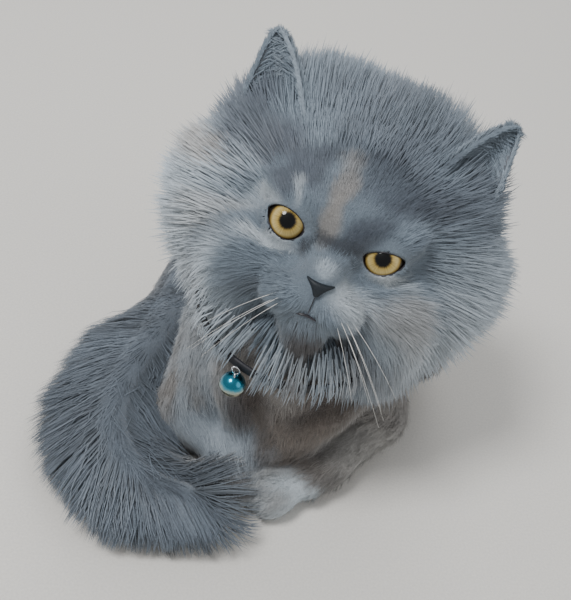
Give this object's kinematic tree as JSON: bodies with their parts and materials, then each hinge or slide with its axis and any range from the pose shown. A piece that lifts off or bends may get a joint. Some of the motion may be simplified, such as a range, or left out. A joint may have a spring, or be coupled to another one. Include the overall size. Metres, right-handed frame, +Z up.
{
  "type": "persian cat model",
  "caption": "Life-size still model of a longhaired cat resting in a low crouch, clipped body, full ruff and bushy tail curled forward, with collar and bell.",
  "frame": {"origin": "middle of the footprint, on the floor that the cat rests on", "axes": "+Z up, the cat faces -Y and its left side is +X"},
  "size_m": [0.2688, 0.2954, 0.248],
  "materials": {
    "clipped_coat": "short clipped grey-beige cat fur",
    "long_coat": "long blue-grey cat fur with cream patches",
    "tail_coat": "long dark slate cat fur",
    "ear": "thin ear skin with fine short hair",
    "eye": "clear wet amber eye with a dark pupil",
    "collar": "thin dark leather strap",
    "bell": "glossy teal lacquer fading to bare pale gold metal",
    "bell_ring": "small bright steel ring"
  },
  "bodies": {
    "root": {"torso": "clipped_coat", "foreleg_left": "clipped_coat", "foreleg_right": "clipped_coat", "hindleg_left": "clipped_coat", "hindleg_right": "clipped_coat", "neck": "long_coat", "head": "long_coat", "tail_base": "tail_coat", "tail_middle": "tail_coat", "tail_tip": "tail_coat", "ear_left": "ear", "ear_right": "ear", "eye_left": "eye", "eye_right": "eye", "collar": "collar", "bell": "bell", "bell_ring": "bell_ring"}
  },
  "joints": []
}
